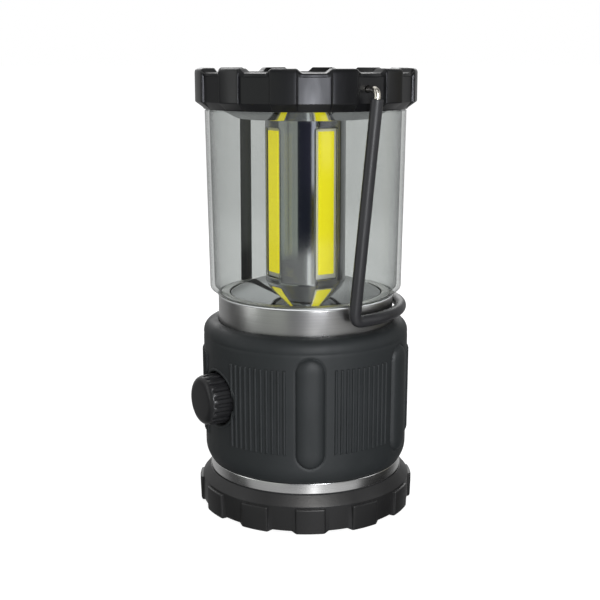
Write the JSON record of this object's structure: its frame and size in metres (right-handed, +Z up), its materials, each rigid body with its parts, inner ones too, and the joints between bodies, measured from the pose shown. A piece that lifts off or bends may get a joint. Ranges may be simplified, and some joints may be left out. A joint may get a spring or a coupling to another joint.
{
  "type": "camping lantern",
  "caption": "Battery camping lantern with ribbed rubber body, clear globe around a mirrored light column, lugged cap, wire bail, dimmer knob and screw-off base.",
  "frame": {"origin": "centre of the ring of feet under the base, on the surface the lantern stands on", "axes": "+Z up the lantern's axis, -Y towards the dimmer knob, X along the bail's pivot"},
  "size_m": [0.12, 0.1111, 0.2104],
  "materials": {
    "sleeve_rubber": "fine moulded grain",
    "seal_rubber": "smooth",
    "clear_seal": "translucent silicone",
    "black_plastic": "satin moulded",
    "inner_plastic": "plain moulded",
    "knob_plastic": "semi-gloss moulded",
    "brushed_steel": "brushed around the ring",
    "clear_globe": "clear moulded polycarbonate",
    "mirror_chrome": "vacuum plated mirror",
    "bare_aluminium": "extruded",
    "board_white": "white solder mask",
    "phosphor": "soft silicone phosphor",
    "plated_steel": "nickel plated",
    "contact_brass": "stamped",
    "cell_jacket": "plain sleeve with no print",
    "board_green": "solder mask",
    "component_black": "moulded",
    "wire_red": "insulation"
  },
  "bodies": {
    "lantern_body": {"housing": "inner_plastic", "rubber_sleeve": "sleeve_rubber", "neck_ring": "brushed_steel", "lower_band": "brushed_steel", "globe": "clear_globe", "globe_seal": "clear_seal", "cap_seal": "seal_rubber", "top_cap": "black_plastic", "cap_cover": "black_plastic", "cap_screws": "plated_steel", "upper_reflector": "mirror_chrome", "lower_reflector": "mirror_chrome", "led_column": "mirror_chrome", "heat_sink": "bare_aluminium", "cob_boards": "board_white", "cob_phosphor": "phosphor", "column_screws": "plated_steel", "battery_cradle": "inner_plastic", "battery_cells": "cell_jacket", "cell_contacts": "contact_brass", "driver_board": "board_green", "driver_parts": "component_black", "board_screws": "plated_steel", "bus_strip": "contact_brass", "lead_wires": "wire_red", "switch_body": "inner_plastic", "switch_nut": "plated_steel", "knob_seal": "seal_rubber", "base_gasket": "seal_rubber"},
    "bail": {"bail_hooks": "plated_steel", "bail_bow": "black_plastic"},
    "dimmer_knob": {"knob": "knob_plastic", "knob_shaft": "plated_steel"},
    "contact_carrier": {"contact_carrier": "inner_plastic", "base_contacts": "contact_brass", "pivot_screw": "plated_steel"},
    "base": {"base_cap": "black_plastic"}
  },
  "joints": [
    {"name": "bail_swing", "type": "hinge", "parent": "lantern_body", "child": "bail", "pos_m": [0, 0, 0.2017], "axis": [1, 0, 0], "range_deg": [0, 300]},
    {"name": "dimmer_turn", "type": "hinge", "parent": "lantern_body", "child": "dimmer_knob", "pos_m": [0, -0.05, 0.058], "axis": [0, 1, 0], "range_deg": [0, 280]},
    {"name": "base_draw", "type": "slide", "parent": "lantern_body", "child": "contact_carrier", "axis": [0, 0, -1], "range_m": [0, 0.0075]},
    {"name": "base_unscrew", "type": "hinge", "parent": "contact_carrier", "child": "base", "pos_m": [0, 0, 0], "axis": [0, 0, -1], "range_deg": [0, 540]}
  ],
  "couplings": [
    {"joint": "base_draw", "follows": "base_unscrew", "m_per_rad": 0.00079577}
  ]
}
